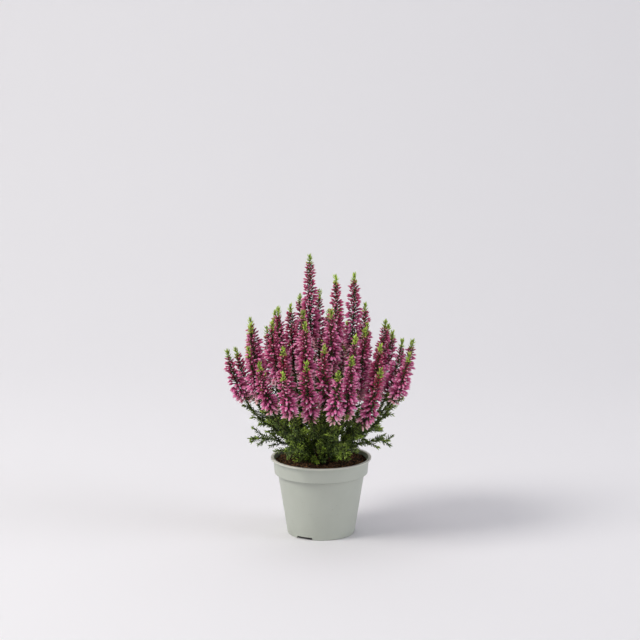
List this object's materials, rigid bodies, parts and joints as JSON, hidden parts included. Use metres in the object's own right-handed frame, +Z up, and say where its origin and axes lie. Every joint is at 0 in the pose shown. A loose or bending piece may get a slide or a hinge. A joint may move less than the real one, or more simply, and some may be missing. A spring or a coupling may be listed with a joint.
{
  "type": "potted heather",
  "caption": "Heather plant in a round tapered nursery pot: upright flower spikes on leafy stems that fan out of the peat, free standing on a flat foot.",
  "frame": {"origin": "centre of the pot's flat foot, on the surface it stands on", "axes": "+Z up along the pot's axis; -Y towards the viewer of the picture"},
  "size_m": [0.2099, 0.2026, 0.31],
  "materials": {
    "pot_plastic": "satin moulded, pale grey green",
    "peat": "crumbly dark brown peat",
    "flower_buds": "soft magenta pink sepals, paler at the points",
    "foliage": "matt dark green scale leaves on thin brown wood"
  },
  "bodies": {
    "root": {"pot": "pot_plastic", "soil": "peat", "flower_spike_01": "flower_buds", "flower_spike_02": "flower_buds", "flower_spike_03": "flower_buds", "flower_spike_04": "flower_buds", "flower_spike_05": "flower_buds", "flower_spike_06": "flower_buds", "flower_spike_07": "flower_buds", "flower_spike_08": "flower_buds", "flower_spike_09": "flower_buds", "flower_spike_10": "flower_buds", "flower_spike_11": "flower_buds", "flower_spike_12": "flower_buds", "flower_spike_13": "flower_buds", "flower_spike_14": "flower_buds", "flower_spike_15": "flower_buds", "flower_spike_16": "flower_buds", "flower_spike_17": "flower_buds", "flower_spike_18": "flower_buds", "flower_spike_19": "flower_buds", "flower_spike_20": "flower_buds", "flower_spike_21": "flower_buds", "flower_spike_22": "flower_buds", "flower_spike_23": "flower_buds", "flower_spike_24": "flower_buds", "flower_spike_25": "flower_buds", "flower_spike_26": "flower_buds", "flower_spike_27": "flower_buds", "flower_spike_28": "flower_buds", "flower_spike_29": "flower_buds", "flower_spike_30": "flower_buds", "flower_spike_31": "flower_buds", "flower_spike_32": "flower_buds", "flower_spike_33": "flower_buds", "flower_spike_34": "flower_buds", "flower_spike_35": "flower_buds", "flower_spike_36": "flower_buds", "flower_spike_37": "flower_buds", "flower_spike_38": "flower_buds", "flower_spike_39": "flower_buds", "flower_spike_40": "flower_buds", "flower_spike_41": "flower_buds", "flower_spike_42": "flower_buds", "flower_spike_43": "flower_buds", "flower_spike_44": "flower_buds", "flower_spike_45": "flower_buds", "flower_spike_46": "flower_buds", "leafy_stem_01": "foliage", "leafy_stem_02": "foliage", "leafy_stem_03": "foliage", "leafy_stem_04": "foliage", "leafy_stem_05": "foliage", "leafy_stem_06": "foliage", "leafy_stem_07": "foliage", "leafy_stem_08": "foliage", "leafy_stem_09": "foliage", "leafy_stem_10": "foliage"}
  },
  "joints": []
}
